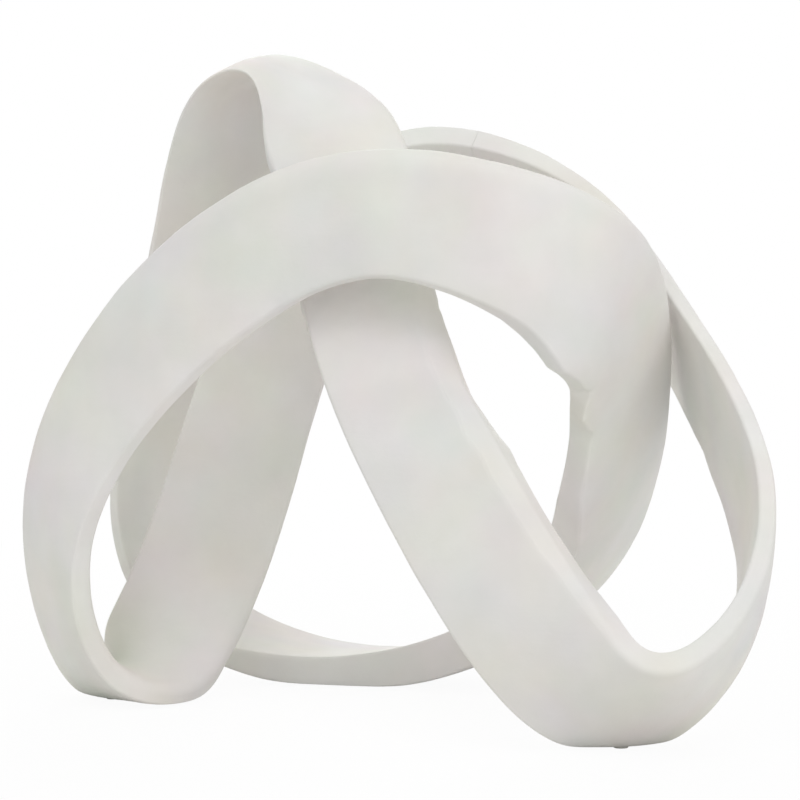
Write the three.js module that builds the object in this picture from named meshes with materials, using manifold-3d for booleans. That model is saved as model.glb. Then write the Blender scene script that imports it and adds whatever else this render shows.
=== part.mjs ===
// Knot sculpture: one flat band that climbs three arches and dives through itself before it meets
// its own start. Three cast lengths of band are pinned and bonded end to end, and each length has
// one foot, ground flat, with a felt dot under it.
// Millimetres, +Z up, origin on the table under the middle of the outline.
import * as THREE from 'three';
import { mergeVertices } from 'three/addons/utils/BufferGeometryUtils.js';
import Module from 'manifold-3d';

const wasm = await Module();
wasm.setup();

// Overall sizes of the knot, to within a few millimetres. The places of the stations are percents
// of them.
const WIDTH = 248; // left to right
const DEPTH = 194; // front to back
const HEIGHT = 224; // table to highest crown
const OVERALL = new THREE.Vector3(WIDTH, DEPTH, HEIGHT);

// Sizes that the sections are percents of
const BAND_WIDTH = 50; // across the broad faces
const BAND_THICKNESS = 20; // through the long edges
const SHOULDER_ROUND = 10; // radius of the soft edge between the outer face and the rear edge

// Stations of the band in the order of its way. The centre line passes through their places. roll
// turns the outer face about the way, in degrees, away from the heart of the knot. width is across
// the broad faces, front and rear are the thickness at the two long edges, and soft is the radius
// of the shoulder. A foot stands on the table, and grind is how many millimetres are ground off its
// lowest point.
const STATIONS = [
  { place: [-36, 12, 3], roll: 18, width: 80, front: 50, rear: 60, soft: 100, grind: 1.5 }, // left foot
  { place: [-44, 6, 23], roll: 8, width: 88, front: 32, rear: 80, soft: 60 }, // front arch rises
  { place: [-35, -3, 49], roll: 10, width: 88, front: 20, rear: 85, soft: 60 }, // its outer bend
  { place: [-18, -14, 67], roll: 30, width: 84, front: 30, rear: 90, soft: 90 }, // its left shoulder
  { place: [2, -22, 73.5], roll: 40, width: 76, front: 50, rear: 95, soft: 100 }, // its crown
  { place: [23.5, -22, 65.5], roll: 20, width: 102, front: 40, rear: 90, soft: 40 }, // its right shoulder
  { place: [31, -7, 50], roll: 10, width: 104, front: 30, rear: 65, soft: 30 }, // its outer descent
  { place: [27, 15, 20], roll: 20, width: 94, front: 75, rear: 40, soft: 30 }, // its inner descent
  { place: [1, 37, 2], roll: 30, width: 90, front: 75, rear: 25, soft: 20, grind: 1.5 }, // back foot
  { place: [-30, 41, 13.5], roll: 2, width: 88, front: 20, rear: 35, soft: 30 }, // high arch rises
  { place: [-31, 38, 45], roll: -20, width: 84, front: 20, rear: 70, soft: 40 }, // its outer bend
  { place: [-25, 29, 77], roll: -25, width: 82, front: 12, rear: 65, soft: 50 }, // its shoulder
  { place: [-20, 22, 96], roll: 10, width: 82, front: 10, rear: 50, soft: 50 }, // its crown
  { place: [-8, 14, 88], roll: -5, width: 98, front: 20, rear: 70, soft: 40 }, // its upper descent
  { place: [-2, -8, 62], roll: 0, width: 84, front: 75, rear: 90, soft: 80 }, // its front descent
  { place: [7, -26, 38], roll: 35, width: 84, front: 75, rear: 90, soft: 60 }, // its lower descent
  { place: [24.6, -40, 10], roll: 12, width: 86, front: 70, rear: 45, soft: 20, grind: 3 }, // right foot
  { place: [41, -36, 12], roll: 15, width: 94, front: 45, rear: 30, soft: 20 }, // rear arch rises
  { place: [47.5, -22, 31], roll: 20, width: 88, front: 40, rear: 25, soft: 20 }, // its outer bend
  { place: [40, 5, 55], roll: 10, width: 84, front: 35, rear: 25, soft: 20 }, // its right shoulder
  { place: [27, 22, 74], roll: 15, width: 80, front: 30, rear: 25, soft: 20 }, // its upper rise
  { place: [4, 32, 80], roll: 20, width: 76, front: 40, rear: 65, soft: 40 }, // its crown
  { place: [-14, 30, 58], roll: 60, width: 80, front: 55, rear: 75, soft: 40 }, // its left shoulder
  { place: [-24, 23, 25], roll: 55, width: 92, front: 65, rear: 70, soft: 40 }, // its inner descent
];
const MIDDLE = [0, 1.4, 0]; // the origin among the places, under the middle of the outline
const HEART = [-3, 16, 46]; // the place that the outer faces look away from
const FACE_CROWN = 1.4; // rise of the outer face above the line between its edges
const EDGE_ROUND = 1.2; // radius of the three crisp long edges
const CORNER_SHARE = 0.45; // most of a section's side that one rounded corner takes

// Butt joints between the three lengths, as places on the way counted in stations
const LOW_JOINT = 7.5;
const HIGH_JOINT = 13.6;
const TOP_JOINT = 20.6;
const BOND_THICKNESS = 0.6;
const BOND_INSET = 1; // how far the bond stays back from the band's surface
const BOND_CLEARANCE = 0.3;
const PIN_DIAMETER = 2;
const PIN_LENGTH = 14;
const PIN_SPREAD = 0.32 * BAND_WIDTH; // between the two pins of a joint
const PIN_CLEARANCE = 0.3; // around a pin and past each of its ends

// Felt dots in shallow seats under the ground feet
const FELT_DIAMETER = 5;
const FELT_THICKNESS = 1.6;
const FELT_PROUD = 0.5; // how far a dot stands below the ground foot
const FELT_CLEARANCE = 0.3;

// Fineness of the facets
const STEPS_PER_STATION = 6;
const ROUND_STEPS = 2;
const SHOULDER_STEPS = 4;
const CROWN_STEPS = 5;
const INNER_STEPS = 3;
const CIRCLE_SIDES = 24;
const MERGE_DISTANCE = 1e-4; // points closer than this are one point
const PULL_SWEEPS = 50; // rounds in which the pulls of the centre line converge
const SETTLE_ROUNDS = 4; // rounds in which the feet come to their height

const CAST_LOOK = { color: 0xe6e3dc, roughness: 0.85, metalness: 0 };
const BOND_LOOK = { color: 0xcfc9bc, roughness: 0.6, metalness: 0 };
const PIN_LOOK = { color: 0xb9bcc0, roughness: 0.35, metalness: 1 };
const FELT_LOOK = { color: 0xd9d5cb, roughness: 1, metalness: 0 };

function percentOfOverall(percents) {
  const fromMiddle = new THREE.Vector3(...percents).sub(new THREE.Vector3(...MIDDLE));
  return fromMiddle.multiply(OVERALL).divideScalar(100);
}

// Pulls of a closed uniform cubic B-spline that passes through the given places
function pullsThrough(places) {
  let found = places;
  for (let sweep = 0; sweep < PULL_SWEEPS; sweep += 1) {
    const last = found;
    found = places.map((place, k) => {
      const neighbours = last.at(k - 1).clone().add(last[(k + 1) % last.length]);
      return place.clone().multiplyScalar(6).sub(neighbours).divideScalar(4);
    });
  }
  return found;
}

const PLACES = STATIONS.map((station) => percentOfOverall(station.place));
const HEART_PLACE = percentOfOverall(HEART);
let pulls = pullsThrough(PLACES);

// Four stations with their pulls and their weights at a place on the way
function shares(way) {
  const whole = Math.floor(way);
  const t = way - whole;
  const weights = [
    (1 - t) ** 3 / 6,
    (3 * t ** 3 - 6 * t ** 2 + 4) / 6,
    (-3 * t ** 3 + 3 * t ** 2 + 3 * t + 1) / 6,
    t ** 3 / 6,
  ];
  const slopes = [
    -((1 - t) ** 2) / 2,
    (3 * t ** 2 - 4 * t) / 2,
    (-3 * t ** 2 + 2 * t + 1) / 2,
    t ** 2 / 2,
  ];
  const count = STATIONS.length;
  return weights.map((weight, k) => {
    const index = (whole + k - 1 + count) % count;
    return { station: STATIONS[index], pull: pulls[index], weight, slope: slopes[k] };
  });
}

// Everything about the band at one place: its frame and its section sizes
function bandAt(way) {
  const place = new THREE.Vector3();
  const along = new THREE.Vector3();
  const size = { roll: 0, width: 0, front: 0, rear: 0, soft: 0 };
  for (const { station, pull, weight, slope } of shares(way)) {
    place.addScaledVector(pull, weight);
    along.addScaledVector(pull, slope);
    for (const key of Object.keys(size)) {
      size[key] += weight * station[key];
    }
  }
  along.normalize();
  const away = place.clone().sub(HEART_PLACE);
  away.addScaledVector(along, -away.dot(along)).normalize();
  const out = away.applyAxisAngle(along, THREE.MathUtils.degToRad(size.roll));
  const across = along.clone().cross(out);
  const width = (size.width / 100) * BAND_WIDTH;
  const front = (size.front / 100) * BAND_THICKNESS;
  const rear = (size.rear / 100) * BAND_THICKNESS;
  const shoulder = (size.soft / 100) * SHOULDER_ROUND;
  return { place, along, out, across, width, front, rear, shoulder };
}

// Rounds one corner of a section between its two neighbours
function roundedCorner(before, corner, after, radius, steps) {
  const toBefore = before.clone().sub(corner);
  const toAfter = after.clone().sub(corner);
  const room = CORNER_SHARE * Math.min(toBefore.length(), toAfter.length());
  toBefore.normalize();
  toAfter.normalize();
  const half = Math.acos(toBefore.dot(toAfter)) / 2;
  const reach = Math.min(radius / Math.tan(half), room);
  const start = corner.clone().addScaledVector(toBefore, reach);
  const end = corner.clone().addScaledVector(toAfter, reach);
  const curve = new THREE.QuadraticBezierCurve(start, corner, end);
  return curve.getPoints(steps);
}

// The band's section at one place, as points (across, out) that run round it, drawn in by inset
function sectionAt({ width, front, rear, shoulder }, inset = 0) {
  const frontOut = new THREE.Vector2(width / 2 - inset, front / 2 - inset);
  const frontIn = new THREE.Vector2(width / 2 - inset, inset - front / 2);
  const rearIn = new THREE.Vector2(inset - width / 2, inset - rear / 2);
  const rearOut = new THREE.Vector2(inset - width / 2, rear / 2 - inset);
  const lowRear = roundedCorner(rearOut, rearIn, frontIn, EDGE_ROUND, ROUND_STEPS);
  const lowFront = roundedCorner(rearIn, frontIn, frontOut, EDGE_ROUND, ROUND_STEPS);
  const highFront = roundedCorner(frontIn, frontOut, rearOut, EDGE_ROUND, ROUND_STEPS);
  const highRear = roundedCorner(frontOut, rearOut, rearIn, shoulder, SHOULDER_STEPS);
  const outer = [
    ...highFront,
    ...spaced(highFront.at(-1), highRear[0], CROWN_STEPS),
    ...highRear,
  ];
  for (const point of outer) {
    const fromMiddle = point.x / frontOut.x;
    point.y += FACE_CROWN * (1 - fromMiddle ** 2);
  }
  return [
    ...lowRear,
    ...spaced(lowRear.at(-1), lowFront[0], INNER_STEPS),
    ...lowFront,
    ...outer,
  ];
}

// Points strictly between two points
function spaced(from, to, count) {
  const points = [];
  for (let k = 1; k <= count; k += 1) {
    points.push(from.clone().lerp(to, k / (count + 1)));
  }
  return points;
}

function inSpace(band, point, shift = 0) {
  return band.place
    .clone()
    .addScaledVector(band.across, point.x)
    .addScaledVector(band.out, point.y)
    .addScaledVector(band.along, shift);
}

function lowestNear(station) {
  let lowest = Infinity;
  for (let step = -STEPS_PER_STATION; step <= STEPS_PER_STATION; step += 1) {
    const band = bandAt(station + step / STEPS_PER_STATION);
    for (const point of sectionAt(band)) {
      lowest = Math.min(lowest, inSpace(band, point).z);
    }
  }
  return lowest;
}

// Lowers or lifts each foot until grinding takes the set depth off its lowest point
for (let round = 0; round < SETTLE_ROUNDS; round += 1) {
  STATIONS.forEach((station, k) => {
    if (station.grind) {
      PLACES[k].z += FELT_PROUD - station.grind - lowestNear(k);
    }
  });
  pulls = pullsThrough(PLACES);
}

// A closed solid through rings of points, with a flat fan at each end
function skinned(rings) {
  const sides = rings[0].length;
  const middle = (ring) => {
    const sum = ring.reduce((total, point) => total.add(point), new THREE.Vector3());
    return sum.divideScalar(sides);
  };
  const points = [...rings.flat(), middle(rings[0]), middle(rings.at(-1))];
  const startMiddle = points.length - 2;
  const endMiddle = points.length - 1;
  const lastRing = (rings.length - 1) * sides;
  const index = [];
  for (let side = 0; side < sides; side += 1) {
    const next = (side + 1) % sides;
    for (let ring = 0; ring < rings.length - 1; ring += 1) {
      const here = ring * sides;
      const there = here + sides;
      index.push(here + side, there + next, here + next);
      index.push(here + side, there + side, there + next);
    }
    index.push(startMiddle, side, next);
    index.push(endMiddle, lastRing + next, lastRing + side);
  }
  const geometry = new THREE.BufferGeometry().setFromPoints(points);
  geometry.setIndex(index);
  return geometry;
}

// One length of band between two joints, each end set back for the bond
function bandLength(fromWay, toWay) {
  const setBack = BOND_THICKNESS / 2 + BOND_CLEARANCE;
  const steps = Math.round((toWay - fromWay) * STEPS_PER_STATION);
  const rings = [];
  for (let step = 0; step <= steps; step += 1) {
    const band = bandAt(fromWay + ((toWay - fromWay) * step) / steps);
    const shift = step === 0 ? setBack : step === steps ? -setBack : 0;
    rings.push(sectionAt(band).map((point) => inSpace(band, point, shift)));
  }
  return skinned(rings);
}

function solidOf(geometry) {
  const bare = geometry.clone();
  bare.deleteAttribute('normal');
  bare.deleteAttribute('uv');
  const merged = mergeVertices(bare, MERGE_DISTANCE);
  return new wasm.Manifold(
    new wasm.Mesh({
      numProp: 3,
      vertProperties: new Float32Array(merged.attributes.position.array),
      triVerts: new Uint32Array(merged.index.array),
    }),
  );
}

function geometryOf(solid) {
  const mesh = solid.getMesh();
  const geometry = new THREE.BufferGeometry();
  geometry.setAttribute('position', new THREE.BufferAttribute(mesh.vertProperties, 3));
  geometry.setIndex(new THREE.BufferAttribute(mesh.triVerts, 1));
  return geometry;
}

// A round bar along the way at a joint, off the centre line by the given amount across
function barAt(band, offset, diameter, length) {
  const bar = new THREE.CylinderGeometry(diameter / 2, diameter / 2, length, CIRCLE_SIDES);
  const frame = new THREE.Matrix4().makeBasis(band.across, band.along, band.out);
  bar.applyMatrix4(frame);
  const middle = inSpace(band, new THREE.Vector2(offset, FACE_CROWN / 2));
  return bar.translate(middle.x, middle.y, middle.z);
}

const PIN_OFFSETS = { front: PIN_SPREAD / 2, rear: -PIN_SPREAD / 2 };

function pinBores(way) {
  const band = bandAt(way);
  const bore = PIN_DIAMETER + 2 * PIN_CLEARANCE;
  const depth = PIN_LENGTH + 2 * PIN_CLEARANCE;
  return Object.values(PIN_OFFSETS).map((offset) => barAt(band, offset, bore, depth));
}

// The thin sheet of adhesive in a joint, holed where the pins pass
function bondSheet(way) {
  const band = bandAt(way);
  const half = BOND_THICKNESS / 2;
  const outline = sectionAt(band, BOND_INSET);
  const rings = [-half, half].map((shift) => outline.map((point) => inSpace(band, point, shift)));
  const holes = pinBores(way).map(solidOf);
  const sheet = holes.reduce((rest, hole) => rest.subtract(hole), solidOf(skinned(rings)));
  return geometryOf(sheet);
}

// An upright disc whose lower face is at the given height
function disc(centre, diameter, bottom, height) {
  const shape = new THREE.CylinderGeometry(diameter / 2, diameter / 2, height, CIRCLE_SIDES);
  shape.rotateX(Math.PI / 2);
  return shape.translate(centre.x, centre.y, bottom + height / 2);
}

// Centre of area of flat outlines
function middleOf(outlines) {
  let area = 0;
  const sum = new THREE.Vector2();
  for (const outline of outlines) {
    outline.forEach(([x, y], k) => {
      const [nextX, nextY] = outline[(k + 1) % outline.length];
      const share = (x * nextY - nextX * y) / 2;
      area += share;
      sum.x += (share * (x + nextX)) / 3;
      sum.y += (share * (y + nextY)) / 3;
    });
  }
  return sum.divideScalar(area);
}

// Grinds the foot of a length flat and cuts the seat of its felt dot in the middle of the flat
function groundFoot(length) {
  const box = length.boundingBox();
  const reach = new THREE.Vector3(...box.max).sub(new THREE.Vector3(...box.min));
  const middle = new THREE.Vector3(...box.max).add(new THREE.Vector3(...box.min)).divideScalar(2);
  const slab = (bottom, top) => {
    const block = new THREE.BoxGeometry(2 * reach.x, 2 * reach.y, top - bottom);
    return solidOf(block.translate(middle.x, middle.y, (top + bottom) / 2));
  };
  const ground = length.subtract(slab(FELT_PROUD - reach.z, FELT_PROUD));
  const centre = middleOf(ground.slice(FELT_PROUD + FELT_CLEARANCE).toPolygons());
  const seatDiameter = FELT_DIAMETER + 2 * FELT_CLEARANCE;
  const seat = disc(centre, seatDiameter, 0, FELT_THICKNESS + FELT_CLEARANCE);
  return { foot: ground.subtract(solidOf(seat)), centre };
}

const part = new THREE.Group();

function addPiece(name, geometry, look) {
  const mesh = new THREE.Mesh(geometry, new THREE.MeshStandardMaterial(look));
  mesh.name = name;
  part.add(mesh);
}

// The three lengths with their feet
const LENGTHS = [
  { side: 'left', from: TOP_JOINT - STATIONS.length, to: LOW_JOINT },
  { side: 'back', from: LOW_JOINT, to: HIGH_JOINT },
  { side: 'right', from: HIGH_JOINT, to: TOP_JOINT },
];
for (const { side, from, to } of LENGTHS) {
  const bores = [...pinBores(from), ...pinBores(to)].map(solidOf);
  const bored = bores.reduce((rest, bore) => rest.subtract(bore), solidOf(bandLength(from, to)));
  const { foot, centre } = groundFoot(bored);
  addPiece(`band_${side}`, geometryOf(foot), CAST_LOOK);
  addPiece(`felt_${side}`, disc(centre, FELT_DIAMETER, 0, FELT_THICKNESS), FELT_LOOK);
}

// The three joints with their bond and two pins
const JOINTS = { low: LOW_JOINT, high: HIGH_JOINT, top: TOP_JOINT };
for (const [joint, way] of Object.entries(JOINTS)) {
  addPiece(`bond_${joint}`, bondSheet(way), BOND_LOOK);
  for (const [edge, offset] of Object.entries(PIN_OFFSETS)) {
    addPiece(`pin_${joint}_${edge}`, barAt(bandAt(way), offset, PIN_DIAMETER, PIN_LENGTH), PIN_LOOK);
  }
}

export default part;
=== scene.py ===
"""Looks of the knot sculpture: a white cast band that climbs three arches and dives through itself.

The band follows the same stations as the CAD, in metres, with finer sections, hand-worked
surfaces and worn edges. It stands on a pale floor in soft studio light.
"""

import math

import bpy
import numpy as np
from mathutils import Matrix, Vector, noise


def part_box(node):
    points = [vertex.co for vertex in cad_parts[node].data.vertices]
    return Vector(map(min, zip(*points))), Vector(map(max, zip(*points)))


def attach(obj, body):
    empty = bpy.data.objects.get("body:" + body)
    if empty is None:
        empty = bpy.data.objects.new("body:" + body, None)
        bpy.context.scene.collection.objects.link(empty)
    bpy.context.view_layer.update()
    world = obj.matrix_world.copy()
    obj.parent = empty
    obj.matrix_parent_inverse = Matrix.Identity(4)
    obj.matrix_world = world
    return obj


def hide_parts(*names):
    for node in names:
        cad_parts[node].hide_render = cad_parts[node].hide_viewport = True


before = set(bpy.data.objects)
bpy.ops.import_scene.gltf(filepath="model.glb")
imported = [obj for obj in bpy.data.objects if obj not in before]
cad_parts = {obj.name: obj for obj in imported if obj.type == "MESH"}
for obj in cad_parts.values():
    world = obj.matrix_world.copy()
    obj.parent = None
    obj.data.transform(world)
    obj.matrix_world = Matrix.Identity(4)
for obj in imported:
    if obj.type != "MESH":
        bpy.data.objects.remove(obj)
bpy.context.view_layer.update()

MM = 0.001

# Overall sizes of the knot, and the sizes of its sections, which the stations give percents of
OVERALL = np.array([248, 194, 224]) * MM
BAND_WIDTH = 50 * MM
BAND_THICKNESS = 20 * MM
SHOULDER_ROUND = 10 * MM

# Stations of the band in the order of its way: the place that the centre line passes through, the
# roll in degrees, then width, front and rear edge thickness and the radius of the shoulder
STATIONS = [
    ([-36, 12, 3], 18, 80, 50, 60, 100),  # left foot
    ([-44, 6, 23], 8, 88, 32, 80, 60),  # front arch rises
    ([-35, -3, 49], 10, 88, 20, 85, 60),  # its outer bend
    ([-18, -14, 67], 30, 84, 30, 90, 90),  # its left shoulder
    ([2, -22, 73.5], 40, 76, 50, 95, 100),  # its crown
    ([23.5, -22, 65.5], 20, 102, 40, 90, 40),  # its right shoulder
    ([31, -7, 50], 10, 104, 30, 65, 30),  # its outer descent
    ([27, 15, 20], 20, 94, 75, 40, 30),  # its inner descent
    ([1, 37, 2], 30, 90, 75, 25, 20),  # back foot
    ([-30, 41, 13.5], 2, 88, 20, 35, 30),  # high arch rises
    ([-31, 38, 45], -20, 84, 20, 70, 40),  # its outer bend
    ([-25, 29, 77], -25, 82, 12, 65, 50),  # its shoulder
    ([-20, 22, 96], 10, 82, 10, 50, 50),  # its crown
    ([-8, 14, 88], -5, 98, 20, 70, 40),  # its upper descent
    ([-2, -8, 62], 0, 84, 75, 90, 80),  # its front descent
    ([7, -26, 38], 35, 84, 75, 90, 60),  # its lower descent
    ([24.6, -40, 10], 12, 86, 70, 45, 20),  # right foot
    ([41, -36, 12], 15, 94, 45, 30, 20),  # rear arch rises
    ([47.5, -22, 31], 20, 88, 40, 25, 20),  # its outer bend
    ([40, 5, 55], 10, 84, 35, 25, 20),  # its right shoulder
    ([27, 22, 74], 15, 80, 30, 25, 20),  # its upper rise
    ([4, 32, 80], 20, 76, 40, 65, 40),  # its crown
    ([-14, 30, 58], 60, 80, 55, 75, 40),  # its left shoulder
    ([-24, 23, 25], 55, 92, 65, 70, 40),  # its inner descent
]
MIDDLE = np.array([0, 1.4, 0])
PLACES = (np.array([station[0] for station in STATIONS]) - MIDDLE) / 100 * OVERALL
ROLLS = np.radians([station[1] for station in STATIONS])
UNITS = np.array([BAND_WIDTH, BAND_THICKNESS, BAND_THICKNESS, SHOULDER_ROUND])
SIZES = np.array([station[2:] for station in STATIONS]) / 100 * UNITS

# The place that an unrolled section faces away from
HEART = (np.array([-3, 16, 46]) - MIDDLE) / 100 * OVERALL

# Swell of the outer face, rounding of the plain edges, and the most that a rounding takes of a side
FACE_CROWN = 1.4 * MM
EDGE_ROUND = 1.2 * MM
CORNER_SHARE = 0.45

# Marks of the hand work on single corners of the section: way, corner, half length along the way,
# then in millimetres the reach over the section and the shift across and out
MARKS = [
    (0, "front_in", 0.9, 11, 0, 3.5),  # left foot
    (0, "rear_in", 0.8, 9, 0.5, 3),
    (2.6, "front_out", 0.1, 3, -0.4, -0.3),  # front arch, left of its crown
    (3.1, "front_out", 0.1, 3, -0.4, -0.3),
    (5.25, "front_in", 0.5, 9, 3.5, 0),  # upper right of the round window
    (5.3, "front_out", 0.4, 7, 3.5, 0),
    (5.74, "front_out", 0.07, 3, -2, 0),  # scallops of the round window
    (5.92, "front_out", 0.15, 5, 4, 0),
    (6.1, "front_out", 0.06, 3, -2, 0),
    (6.42, "front_out", 0.3, 6, 5, 0),
    (6.5, "front_in", 0.35, 6, 2.5, 0),
    (11.15, "rear_in", 0.35, 5, -1.6, 0),  # high arch
    (12.6, "front_out", 0.6, 8, 1.5, 0),
    (13.2, "front_in", 0.3, 5, 1.6, 0),
    (14.75, "rear_in", 0.35, 8, 2.4, 0),  # front descent
    (14.75, "rear_out", 0.3, 8, 1.5, 0),
    (15.06, "rear_in", 0.07, 4, -0.6, 0),
    (18.6, "front_in", 0.1, 3, -0.4, 0.3),  # rear arch
    (23.5, "front_out", 0.1, 3, -0.4, -0.3),  # inner descent
]

# The left foot, where the inner corner of the front edge is rubbed soft
LIP_WAY = 0
LIP_REACH = 0.9
LIP_ROUND = 6 * MM

# The high arch, where the front edge thins to a knife
KNIFE_WAY = 12.2
KNIFE_REACH = 1.3
KNIFE_THINNING = 0.8

# The flat facet that runs down the shoulder of the front descent, and how ragged its edges are
FACET_WAY = 15
FACET_REACH = 0.8
FACET_RAGGED = 0.3
FACET_PITCH = 0.12

# Waves and grain of the hand-finished surface, and the rings at a joint over which they fade
WAVE_HEIGHT = 0.22 * MM
WAVE_PITCH = 16 * MM
GRAIN_HEIGHT = 0.05 * MM
GRAIN_PITCH = 4 * MM
FADE_RINGS = 3

# The crumpled stretch of the front descent, just below the front arch
CRUMPLE_WAY = 14.02
CRUMPLE_REACH = 0.2
CRUMPLE_HEIGHT = 0.5 * MM
CRUMPLE_PITCH = 3.5 * MM

# Joints as places on the way, and the gap that shows in each
JOINTS = {"low": 7.5, "high": 13.6, "top": 20.6}
JOINT_GAP = 0.08 * MM

# Soles: their height over the table, the softness of their rims, and the depth ground off each foot
FELT_PROUD = 0.5 * MM
SOLE_EASE = 0.8 * MM
GRINDS = {0: 1.5 * MM, 8: 1.5 * MM, 16: 3 * MM}

# Felt dots: sides, worn edge, height and pitch of the fuzz, and the flat middle as a share of the radius
FELT_SIDES = 64
FELT_EDGE = 0.25 * MM
FELT_FUZZ = 0.12 * MM
FELT_FUZZ_PITCH = 0.6 * MM
FELT_MIDDLE = 0.5

# Fineness of the band: rings per station, then points on its corners and faces
RINGS_PER_STATION = 54
CORNER_POINTS = 7
SHOULDER_POINTS = 10
FACE_POINTS = 30
EDGE_POINTS = 3
SHARP_ANGLE = math.radians(50)

# Sweeps that find the pulls of the spline, and rounds that settle the feet
PULL_SWEEPS = 50
SETTLE_ROUNDS = 4

# A length that keeps a division from zero, and a place off the grid on which noise is always zero
TINY = 1e-12
OFF_THE_GRID = 0.5

# Dark and light tones of the materials
CAST_TONES = ((0.77, 0.758, 0.725), (0.825, 0.808, 0.78))
BOND_TONES = ((0.6, 0.57, 0.51), (0.7, 0.67, 0.61))
STEEL_TONES = ((0.52, 0.53, 0.55), (0.66, 0.67, 0.69))
FELT_TONES = ((0.66, 0.64, 0.59), (0.8, 0.78, 0.73))
FLOOR_TONE = (0.85, 0.85, 0.84, 1)
WHITE = (1, 1, 1, 1)

# Camera at the photograph's viewing angle; lens and sensor in millimetres as the camera takes them
TARGET = Vector((5.4, 28.3, 102.9)) * MM
DISTANCE = 894 * MM
ELEVATION = math.radians(2.5)
LENS = 117
SENSOR = 36
NEAREST_SEEN = 0.01

# Lamps: place and size in metres, strength in watts; all of them aim at the middle of the knot
LAMPS = {
    "top": ((0, 0, 2.0), 1.6, 4),
    "front_top": ((0, -0.95, 1.75), 1.3, 9),
    "back": ((0, 1.8, 0.7), 1.2, 19),
    "right": ((1.5, -1.5, 0.5), 1.6, 8),
    "left": ((-1.6, -1.2, 0.4), 1.6, 2),
}
MIDDLE_OF_KNOT = (0, 0, 0.1)
SOFT_STRENGTH = 0.56

# The floor is near white under the knot, where it keeps the shadow, and white farther off
FLOOR_REACH = 6
SHADOW_NEAR = 0.15
SHADOW_FAR = 0.6
SHADOW_WHITE = 0.95


def unit(vectors):
    """Vectors (n, k) scaled to length one."""
    return vectors / np.linalg.norm(vectors, axis=1, keepdims=True)


def stretch(ways, middle, reach):
    """One in the middle of a stretch of the way, falling to zero past its reach."""
    return np.exp(-(((ways - middle) / reach) ** 4))


def pulls_through(places):
    """Pulls of a closed uniform cubic B-spline that passes through the given places."""
    pulls = places
    for _ in range(PULL_SWEEPS):
        neighbours = np.roll(pulls, 1, axis=0) + np.roll(pulls, -1, axis=0)
        pulls = (6 * places - neighbours) / 4
    return pulls


def band_at(ways):
    """Frames and section sizes of the band at an array of places on its way."""
    whole = np.floor(ways).astype(int)
    t = ways - whole
    weights = np.array(
        [
            (1 - t) ** 3 / 6,
            (3 * t**3 - 6 * t**2 + 4) / 6,
            (-3 * t**3 + 3 * t**2 + 3 * t + 1) / 6,
            t**3 / 6,
        ]
    )
    slopes = np.array(
        [
            -((1 - t) ** 2) / 2,
            (3 * t**2 - 4 * t) / 2,
            (-3 * t**2 + 2 * t + 1) / 2,
            t**2 / 2,
        ]
    )
    picks = (whole + np.arange(4)[:, None] - 1) % len(STATIONS)
    place = np.einsum("kn,knj->nj", weights, PULLS[picks])
    along = unit(np.einsum("kn,knj->nj", slopes, PULLS[picks]))
    roll = np.einsum("kn,kn->n", weights, ROLLS[picks])[:, None]
    width, front, rear, shoulder = np.einsum("kn,knj->jn", weights, SIZES[picks])
    away = place - HEART
    away = unit(away - along * np.sum(away * along, axis=1, keepdims=True))
    out = np.cos(roll) * away + np.sin(roll) * np.cross(along, away)
    across = np.cross(along, out)
    size = {"width": width, "front": front, "rear": rear, "shoulder": shoulder}
    return place, along, out, across, size


def settle(foot, grind):
    """Lowers or lifts a foot until grinding takes the given depth off its lowest point."""
    ways = np.linspace(foot - 1, foot + 1, 2 * RINGS_PER_STATION + 1)
    place, _, out, across, size = band_at(ways)
    outline = sections(**size)
    heights = place[:, 2] + outline[..., 0] * across[:, 2] + outline[..., 1] * out[:, 2]
    PLACES[foot, 2] += FELT_PROUD - grind - heights.min()


def corners_of(width, front, rear):
    """The four corners (n, 2) of the sections as (across, out), before they are rounded."""
    return {
        "front_out": np.stack([width / 2, front / 2], axis=1),
        "front_in": np.stack([width / 2, -front / 2], axis=1),
        "rear_in": np.stack([-width / 2, -rear / 2], axis=1),
        "rear_out": np.stack([-width / 2, rear / 2], axis=1),
    }


def rounded_corner(before, corner, after, radius, count, flat=0):
    """Points (count, n, 2) of a corner rounded, or cut flat, between its two neighbours."""
    to_before = before - corner
    to_after = after - corner
    shorter = np.minimum(np.linalg.norm(to_before, axis=1), np.linalg.norm(to_after, axis=1))
    to_before = unit(to_before)
    to_after = unit(to_after)
    half = np.arccos(np.sum(to_before * to_after, axis=1)) / 2
    reach = np.minimum(radius / np.tan(half), CORNER_SHARE * shorter)[:, None]
    t = np.linspace(0, 1, count)[:, None, None]
    start = corner + to_before * reach
    end = corner + to_after * reach
    bend = corner + np.reshape(flat, (-1, 1)) * ((start + end) / 2 - corner)
    return (1 - t) ** 2 * start + 2 * t * (1 - t) * bend + t**2 * end


def spaced(start, end, count):
    """Points (count, n, 2) strictly between two points."""
    t = (np.arange(1, count + 1) / (count + 1))[:, None, None]
    return start + (end - start) * t


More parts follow.
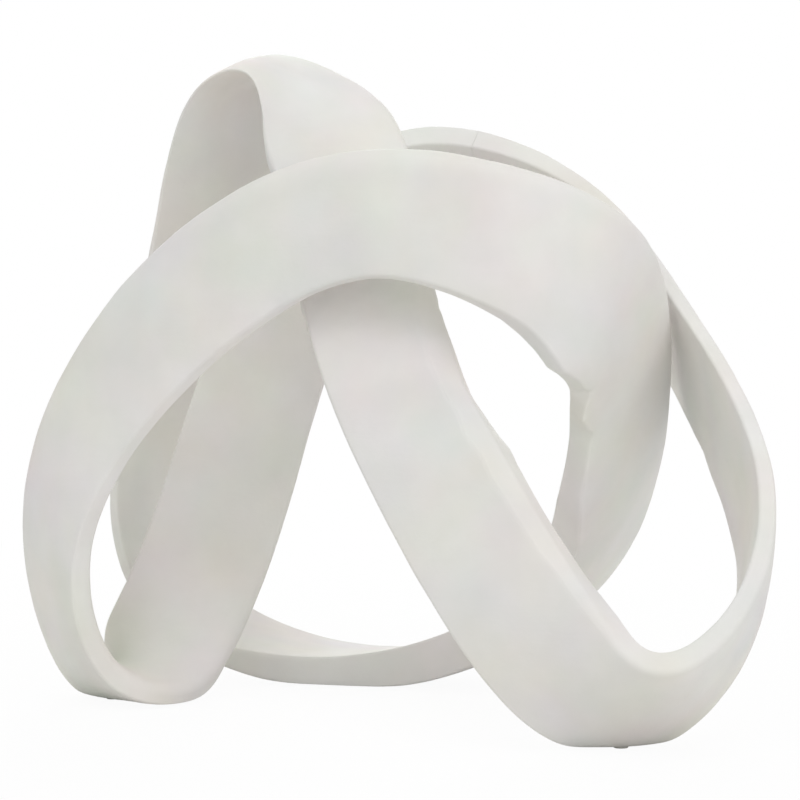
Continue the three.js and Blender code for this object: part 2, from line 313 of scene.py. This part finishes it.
def sections(width, front, rear, shoulder, flat=0, lip=EDGE_ROUND):
    """Section outlines (points, n, 2) as (across, out), all the way round."""
    front_out, front_in, rear_in, rear_out = corners_of(width, front, rear).values()
    low_rear = rounded_corner(rear_out, rear_in, front_in, EDGE_ROUND, CORNER_POINTS)
    low_front = rounded_corner(rear_in, front_in, front_out, lip, CORNER_POINTS)
    high_front = rounded_corner(front_in, front_out, rear_out, EDGE_ROUND, CORNER_POINTS)
    high_rear = rounded_corner(front_out, rear_out, rear_in, shoulder, SHOULDER_POINTS, flat)
    outer_face = spaced(high_front[-1], high_rear[0], FACE_POINTS)
    outer = np.concatenate([high_front, outer_face, high_rear])
    outer[..., 1] += FACE_CROWN * (1 - (2 * outer[..., 0] / width) ** 2)
    return np.concatenate(
        [
            low_rear,
            spaced(low_rear[-1], low_front[0], FACE_POINTS),
            low_front,
            spaced(low_front[-1], outer[0], EDGE_POINTS),
            outer,
            spaced(outer[-1], low_rear[0], EDGE_POINTS),
        ]
    )


def mark(ways, outline, size):
    """Works the marks of the hand into the section outlines."""
    corners = corners_of(size["width"], size["front"], size["rear"])
    count = len(STATIONS)
    for way, corner, half_length, reach, shift_across, shift_out in MARKS:
        gap = np.abs((ways - way + count / 2) % count - count / 2)
        along = np.clip(1 - gap / half_length, 0, 1)
        span = np.linalg.norm(outline - corners[corner], axis=2) / (reach * MM)
        share = along * np.exp(-(span**2))
        outline += share[..., None] * np.array([shift_across, shift_out]) * MM


def roughen(ways, points):
    """Gives the rings (n, sides, 3) of a length the slight waves and grain of the hand work."""
    lengthwise = np.gradient(points, axis=0)
    sidewise = np.roll(points, -1, axis=1) - np.roll(points, 1, axis=1)
    normals = np.cross(sidewise, lengthwise)
    normals /= np.linalg.norm(normals, axis=2, keepdims=True) + TINY
    gap = np.abs(ways - CRUMPLE_WAY) / CRUMPLE_REACH
    crumple = CRUMPLE_HEIGHT * np.exp(-(gap**2))
    shifts = np.zeros(points.shape[:2])
    for ring, row in enumerate(points):
        for side, spot in enumerate(row):
            here = Vector(spot)
            shift = WAVE_HEIGHT * noise.noise(here / WAVE_PITCH)
            shift += GRAIN_HEIGHT * noise.noise(here / GRAIN_PITCH)
            if crumple[ring] > GRAIN_HEIGHT:
                shift += crumple[ring] * noise.noise(here / CRUMPLE_PITCH)
            shifts[ring, side] = shift
    from_start = np.arange(len(points))
    from_end = from_start[::-1]
    fade = np.clip(np.minimum(from_start, from_end) / FADE_RINGS, 0, 1)
    points += normals * (shifts * fade[:, None])[..., None]


def band_length(name, start, end):
    """One cast length of the band, closed at both ends and ground flat where it stands."""
    ways = np.linspace(start, end, round((end - start) * RINGS_PER_STATION) + 1)
    place, along, out, across, size = band_at(ways)
    flat = stretch(ways, FACET_WAY, FACET_REACH)
    knife = stretch(ways, KNIFE_WAY, KNIFE_REACH)
    size["front"] = size["front"] * (1 - KNIFE_THINNING * knife)
    spots = [Vector((way / FACET_PITCH, OFF_THE_GRID, OFF_THE_GRID)) for way in ways]
    ragged = np.array([noise.noise(spot) for spot in spots])
    size["shoulder"] = size["shoulder"] * (1 + FACET_RAGGED * flat * ragged)
    lip = EDGE_ROUND + LIP_ROUND * stretch(ways, LIP_WAY, LIP_REACH)
    outline = sections(**size, flat=flat, lip=lip)
    mark(ways, outline, size)
    points = place + outline[..., :1] * across + outline[..., 1:] * out
    points[:, 0] += along[0] * JOINT_GAP / 2
    points[:, -1] -= along[-1] * JOINT_GAP / 2
    points = points.transpose(1, 0, 2)
    roughen(ways, points)
    above_sole = (points[..., 2] - FELT_PROUD) / SOLE_EASE
    points[..., 2] = FELT_PROUD + SOLE_EASE * np.logaddexp(0, above_sole)
    return skinned(name, points)


def felt_dot(name, low, high):
    """A felt dot that fills the box from low to high, with a worn, fuzzy rim."""
    centre = (low + high) / 2
    radius = (high[0] - low[0]) / 2 - FELT_FUZZ
    profile = [
        (FELT_MIDDLE * radius, low[2]),
        (radius - FELT_EDGE, low[2]),
        (radius, low[2] + FELT_EDGE),
        (radius, centre[2]),
        (radius, high[2] - FELT_EDGE),
        (radius - FELT_EDGE, high[2]),
        (FELT_MIDDLE * radius, high[2]),
    ]
    turns = np.linspace(0, 2 * math.pi, FELT_SIDES, endpoint=False)
    rings = []
    for reach, height in profile:
        ring = []
        for turn in turns:
            spot = Vector((reach * math.cos(turn), reach * math.sin(turn), height))
            fuzzy_reach = reach + FELT_FUZZ * noise.noise(spot / FELT_FUZZ_PITCH)
            x = centre[0] + fuzzy_reach * math.cos(turn)
            y = centre[1] + fuzzy_reach * math.sin(turn)
            ring.append((x, y, height))
        rings.append(ring)
    return skinned(name, np.array(rings))


def skinned(name, rings):
    """A closed mesh object through rings of points, with a flat cap at each end."""
    count, sides = rings.shape[:2]
    here = np.arange(count - 1)[:, None] * sides + np.arange(sides)
    beside = np.roll(here, -1, axis=1)
    quads = np.stack([here, here + sides, beside + sides, beside], axis=-1).reshape(-1, 4)
    caps = [list(range(sides)), list(range(count * sides - 1, (count - 1) * sides - 1, -1))]
    mesh = bpy.data.meshes.new(name)
    mesh.from_pydata(rings.reshape(-1, 3).tolist(), [], quads.tolist() + caps)
    mesh.update()
    mesh.shade_smooth()
    mesh.set_sharp_from_angle(angle=SHARP_ANGLE)
    piece = bpy.data.objects.new(name, mesh)
    bpy.context.collection.objects.link(piece)
    return piece


def start_material(name, roughness, specular):
    """A fresh material with its nodes, links and shader."""
    material = bpy.data.materials.new(name)
    material.use_nodes = True
    tree = material.node_tree
    shader = tree.nodes["Principled BSDF"]
    shader.inputs["Roughness"].default_value = roughness
    shader.inputs["Specular IOR Level"].default_value = specular
    return material, tree.nodes, tree.links, shader


def noise_node(nodes, links, coords, scale, detail):
    """The grey value of a noise texture."""
    texture = nodes.new("ShaderNodeTexNoise")
    texture.inputs["Scale"].default_value = scale
    texture.inputs["Detail"].default_value = detail
    links.new(coords, texture.inputs["Vector"])
    return texture.outputs["Fac"]


def ramp_node(nodes, links, factor, tones, positions):
    """A colour ramp from a dark to a light tone between two positions."""
    ramp = nodes.new("ShaderNodeValToRGB")
    for element, tone, position in zip(ramp.color_ramp.elements, tones, positions):
        element.position = position
        element.color = (*tone, 1)
    links.new(factor, ramp.inputs["Fac"])
    return ramp.outputs["Color"]


def bump_node(nodes, links, height, strength, distance):
    """A bump that reads a height."""
    bump = nodes.new("ShaderNodeBump")
    bump.inputs["Strength"].default_value = strength
    bump.inputs["Distance"].default_value = distance
    links.new(height, bump.inputs["Height"])
    return bump


def cast_material():
    """Dry white cast with faint clouds and stains, fine grain and brush strokes."""
    material, nodes, links, shader = start_material("cast_white", roughness=0.85, specular=0.2)
    coords = nodes.new("ShaderNodeTexCoord").outputs["Object"]
    clouds = noise_node(nodes, links, coords, scale=45, detail=5)
    tint = ramp_node(nodes, links, clouds, CAST_TONES, positions=(0.3, 0.7))
    hues = nodes.new("ShaderNodeTexNoise")
    hues.inputs["Scale"].default_value = 30
    links.new(coords, hues.inputs["Vector"])
    stain = nodes.new("ShaderNodeMixRGB")
    stain.blend_type = "SOFT_LIGHT"
    stain.inputs["Fac"].default_value = 0.28
    links.new(tint, stain.inputs["Color1"])
    links.new(hues.outputs["Color"], stain.inputs["Color2"])
    links.new(stain.outputs["Color"], shader.inputs["Base Color"])
    grain = noise_node(nodes, links, coords, scale=700, detail=4)
    strokes = nodes.new("ShaderNodeMapping")
    strokes.inputs["Scale"].default_value = (60, 60, 420)
    links.new(coords, strokes.inputs["Vector"])
    brushed = noise_node(nodes, links, strokes.outputs["Vector"], scale=1, detail=3)
    fine = bump_node(nodes, links, grain, strength=0.12, distance=0.3 * MM)
    broad = bump_node(nodes, links, brushed, strength=0.08, distance=0.5 * MM)
    links.new(fine.outputs["Normal"], broad.inputs["Normal"])
    links.new(broad.outputs["Normal"], shader.inputs["Normal"])
    return material


def bond_material():
    """Dull adhesive with small bubbles."""
    material, nodes, links, shader = start_material("bond", roughness=0.6, specular=0.3)
    coords = nodes.new("ShaderNodeTexCoord").outputs["Object"]
    cells = nodes.new("ShaderNodeTexVoronoi")
    cells.inputs["Scale"].default_value = 900
    links.new(coords, cells.inputs["Vector"])
    bubbles = cells.outputs["Distance"]
    tint = ramp_node(nodes, links, bubbles, BOND_TONES, positions=(0.1, 0.5))
    links.new(tint, shader.inputs["Base Color"])
    bump = bump_node(nodes, links, bubbles, strength=0.3, distance=0.2 * MM)
    links.new(bump.outputs["Normal"], shader.inputs["Normal"])
    return material


def steel_material():
    """Steel of the pins with a fine, dull grain."""
    material, nodes, links, shader = start_material("steel", roughness=0.35, specular=0.5)
    shader.inputs["Metallic"].default_value = 1
    coords = nodes.new("ShaderNodeTexCoord").outputs["Object"]
    grain = noise_node(nodes, links, coords, scale=2500, detail=2)
    tint = ramp_node(nodes, links, grain, STEEL_TONES, positions=(0.3, 0.7))
    links.new(tint, shader.inputs["Base Color"])
    bump = bump_node(nodes, links, grain, strength=0.1, distance=0.1 * MM)
    links.new(bump.outputs["Normal"], shader.inputs["Normal"])
    return material


def felt_material():
    """Pressed felt with a fibrous tone."""
    material, nodes, links, shader = start_material("felt", roughness=1, specular=0.1)
    shader.inputs["Sheen Weight"].default_value = 0.3
    coords = nodes.new("ShaderNodeTexCoord").outputs["Object"]
    fibres = noise_node(nodes, links, coords, scale=3000, detail=6)
    tint = ramp_node(nodes, links, fibres, FELT_TONES, positions=(0.3, 0.7))
    links.new(tint, shader.inputs["Base Color"])
    bump = bump_node(nodes, links, fibres, strength=0.5, distance=0.2 * MM)
    links.new(bump.outputs["Normal"], shader.inputs["Normal"])
    return material


def seen_directly(nodes, links):
    """One for rays from the camera and for those that gloss and glass send on, else zero."""
    path = nodes.new("ShaderNodeLightPath")
    seen = path.outputs["Is Camera Ray"]
    for ray in ("Is Glossy Ray", "Is Transmission Ray"):
        either = nodes.new("ShaderNodeMath")
        either.operation = "MAXIMUM"
        links.new(seen, either.inputs[0])
        links.new(path.outputs[ray], either.inputs[1])
        seen = either.outputs["Value"]
    return seen


def floor_material():
    """Pale floor that glows white to the camera, less under the knot than farther off."""
    material = bpy.data.materials.new("floor")
    material.use_nodes = True
    nodes = material.node_tree.nodes
    links = material.node_tree.links
    nodes.clear()
    output = nodes.new("ShaderNodeOutputMaterial")
    mix = nodes.new("ShaderNodeMixShader")
    diffuse = nodes.new("ShaderNodeBsdfDiffuse")
    diffuse.inputs["Color"].default_value = FLOOR_TONE
    glow = nodes.new("ShaderNodeEmission")
    reach = nodes.new("ShaderNodeVectorMath")
    reach.operation = "LENGTH"
    links.new(nodes.new("ShaderNodeTexCoord").outputs["Object"], reach.inputs[0])
    fade = nodes.new("ShaderNodeMapRange")
    fade.inputs["From Min"].default_value = SHADOW_NEAR
    fade.inputs["From Max"].default_value = SHADOW_FAR
    fade.inputs["To Min"].default_value = SHADOW_WHITE
    fade.inputs["To Max"].default_value = 1
    links.new(reach.outputs["Value"], fade.inputs["Value"])
    share = nodes.new("ShaderNodeMath")
    share.operation = "MULTIPLY"
    links.new(seen_directly(nodes, links), share.inputs[0])
    links.new(fade.outputs["Result"], share.inputs[1])
    links.new(share.outputs["Value"], mix.inputs["Fac"])
    links.new(diffuse.outputs["BSDF"], mix.inputs[1])
    links.new(glow.outputs["Emission"], mix.inputs[2])
    links.new(mix.outputs["Shader"], output.inputs["Surface"])
    return material


def paint(piece, material):
    """Gives a piece its one material."""
    piece.data.materials.clear()
    piece.data.materials.append(material)


def area_light(name, place, size, power):
    """A round lamp that aims at the middle of the knot."""
    data = bpy.data.lights.new(name, "AREA")
    data.shape = "DISK"
    data.size = size
    data.energy = power
    lamp = bpy.data.objects.new(name, data)
    bpy.context.collection.objects.link(lamp)
    lamp.location = place
    aim = Vector(MIDDLE_OF_KNOT) - Vector(place)
    lamp.rotation_euler = aim.to_track_quat("-Z", "Y").to_euler()


# The feet settle on the table
PULLS = pulls_through(PLACES)
for _ in range(SETTLE_ROUNDS):
    for foot, grind in GRINDS.items():
        settle(foot, grind)
    PULLS = pulls_through(PLACES)

# The three cast lengths of the band
cast = cast_material()
LENGTHS = {
    "left": (JOINTS["top"] - len(STATIONS), JOINTS["low"]),
    "back": (JOINTS["low"], JOINTS["high"]),
    "right": (JOINTS["high"], JOINTS["top"]),
}
for side, (start, end) in LENGTHS.items():
    band = band_length(f"cast_{side}", start, end)
    paint(band, cast)
    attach(band, "root")
    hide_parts(f"band_{side}")

# Felt dots with a worn rim, in place of the plain discs
felt = felt_material()
for side in LENGTHS:
    low, high = (np.array(corner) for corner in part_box(f"felt_{side}"))
    dot = felt_dot(f"dot_{side}", low, high)
    paint(dot, felt)
    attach(dot, "root")
    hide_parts(f"felt_{side}")

# The adhesive and the pins keep their CAD shapes
KEPT_LOOKS = {"bond": bond_material(), "pin": steel_material()}
for name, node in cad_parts.items():
    kind = name.split("_")[0]
    if kind in KEPT_LOOKS:
        paint(node, KEPT_LOOKS[kind])

camera_data = bpy.data.cameras.new("camera")
camera_data.lens = LENS
camera_data.sensor_width = SENSOR
camera_data.clip_start = NEAREST_SEEN
camera = bpy.data.objects.new("camera", camera_data)
bpy.context.collection.objects.link(camera)
camera.location = TARGET + DISTANCE * Vector((0, -math.cos(ELEVATION), math.sin(ELEVATION)))
camera.rotation_euler = (math.pi / 2 - ELEVATION, 0, 0)
bpy.context.scene.camera = camera

for name, (place, size, power) in LAMPS.items():
    area_light(name, place, size, power)

floor_mesh = bpy.data.meshes.new("floor")
floor_mesh.from_pydata(
    [(x * FLOOR_REACH, y * FLOOR_REACH, 0) for x, y in ((-1, -1), (1, -1), (1, 1), (-1, 1))],
    [],
    [(0, 1, 2, 3)],
)
floor = bpy.data.objects.new("floor", floor_mesh)
bpy.context.collection.objects.link(floor)
paint(floor, floor_material())

# Soft light from all round, which the camera sees as white
world = bpy.data.worlds.new("studio")
world.use_nodes = True
bpy.context.scene.world = world
nodes = world.node_tree.nodes
links = world.node_tree.links
soft = nodes["Background"]
soft.inputs["Color"].default_value = WHITE
soft.inputs["Strength"].default_value = SOFT_STRENGTH
white = nodes.new("ShaderNodeBackground")
white.inputs["Color"].default_value = WHITE
white.inputs["Strength"].default_value = 1
mix = nodes.new("ShaderNodeMixShader")
links.new(seen_directly(nodes, links), mix.inputs["Fac"])
links.new(soft.outputs["Background"], mix.inputs[1])
links.new(white.outputs["Background"], mix.inputs[2])
links.new(mix.outputs["Shader"], nodes["World Output"].inputs["Surface"])

bpy.context.scene.view_settings.view_transform = "Standard"

bpy.context.view_layer.update()
